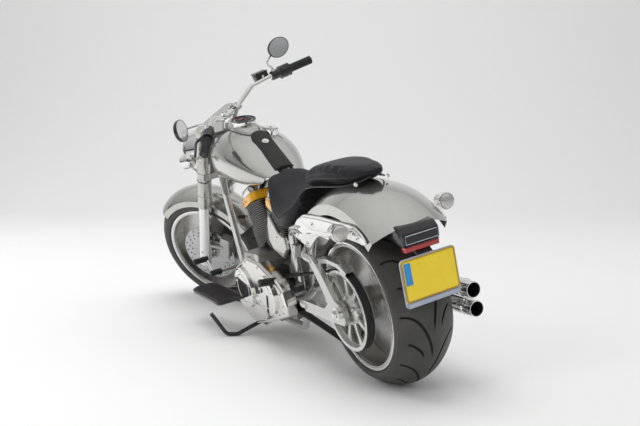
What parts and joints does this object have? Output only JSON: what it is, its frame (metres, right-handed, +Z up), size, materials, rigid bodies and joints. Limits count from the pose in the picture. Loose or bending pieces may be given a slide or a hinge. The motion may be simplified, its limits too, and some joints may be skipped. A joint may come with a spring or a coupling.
{
  "type": "cruiser motorcycle",
  "caption": "Low V-twin cruiser motorcycle with dished disc wheels, left belt drive and stacked right mufflers, parked leaning on its side stand with the steering turned left.",
  "frame": {"origin": "on the ground under the middle of the bounding box", "axes": "+X ahead, +Y to the left, +Z up; the machine leans left about 12 degrees on its side stand, steering on its left stop"},
  "size_m": [2.3095, 0.8894, 1.3344],
  "materials": {
    "silver_paint": "gloss",
    "frame_paint": "gloss",
    "chrome": "polished",
    "wheel_alloy": "machined",
    "engine_alloy": "satin",
    "engine_black": "satin",
    "yellow_paint": "gloss",
    "plate_yellow": "satin",
    "tyre": "matte",
    "rubber": "matte",
    "belt": "matte",
    "leather": "grained",
    "black_metal": "satin",
    "lamp_red": "gloss",
    "steel": "brushed"
  },
  "bodies": {
    "chassis": {"frame": "frame_paint", "swingarm": "frame_paint", "rear_axle": "chrome", "crankcase": "engine_alloy", "cylinders": "engine_black", "rocker_bases": "yellow_paint", "rocker_covers": "chrome", "pushrod_tubes": "chrome", "primary_cover": "chrome", "cam_cover": "chrome", "air_cleaner": "chrome", "exhaust_headers": "chrome", "mufflers": "chrome", "fuel_tank": "silver_paint", "tank_console": "silver_paint", "speedometer": "chrome", "fuel_cap": "chrome", "tank_strap": "leather", "rider_seat": "leather", "pillion_seat": "leather", "side_covers": "silver_paint", "rear_fender": "silver_paint", "fender_struts": "chrome", "rear_signals": "chrome", "tail_lamp": "lamp_red", "plate_bracket": "black_metal", "licence_plate": "plate_yellow", "drive_belt": "belt", "belt_guard": "frame_paint", "front_pulley": "steel", "rear_caliper": "engine_alloy", "floorboards": "rubber", "shift_lever": "chrome", "brake_pedal": "chrome", "passenger_pegs": "black_metal"},
    "side_stand": {"side_stand": "black_metal"},
    "rear_wheel": {"rear_tyre": "tyre", "rear_wheel": "wheel_alloy", "rear_pulley": "wheel_alloy", "rear_brake_disc": "steel"},
    "fork": {"fork_legs": "chrome", "triple_clamps": "silver_paint", "fork_covers": "silver_paint", "headlamp": "chrome", "front_signals": "chrome", "front_fender": "silver_paint", "front_axle": "chrome", "front_caliper": "engine_alloy", "handlebar": "chrome", "grips": "rubber", "hand_controls": "black_metal", "hand_levers": "black_metal", "mirrors": "chrome"},
    "front_wheel": {"front_tyre": "tyre", "front_wheel": "wheel_alloy", "front_brake_disc": "steel"}
  },
  "joints": [
    {"name": "steering", "type": "hinge", "parent": "chassis", "child": "fork", "pos_m": [0.52806, 0.01025, 0.76014], "axis": [-0.4966, 0.1814, 0.8488], "range_deg": [-68, 0]},
    {"name": "front_wheel_spin", "type": "hinge", "parent": "fork", "child": "front_wheel", "pos_m": [0.86152, -0.04686, 0.29947], "axis": [-0.4861, 0.7521, -0.4451], "continuous": true},
    {"name": "rear_wheel_spin", "type": "hinge", "parent": "chassis", "child": "rear_wheel", "pos_m": [-0.79272, -0.08503, 0.32063], "axis": [-0.0008, 0.9778, -0.2094], "continuous": true},
    {"name": "side_stand_fold", "type": "hinge", "parent": "chassis", "child": "side_stand", "pos_m": [0.08628, 0.01783, 0.07159], "axis": [0.0638, 0.457, 0.8872], "range_deg": [0, 78]}
  ]
}
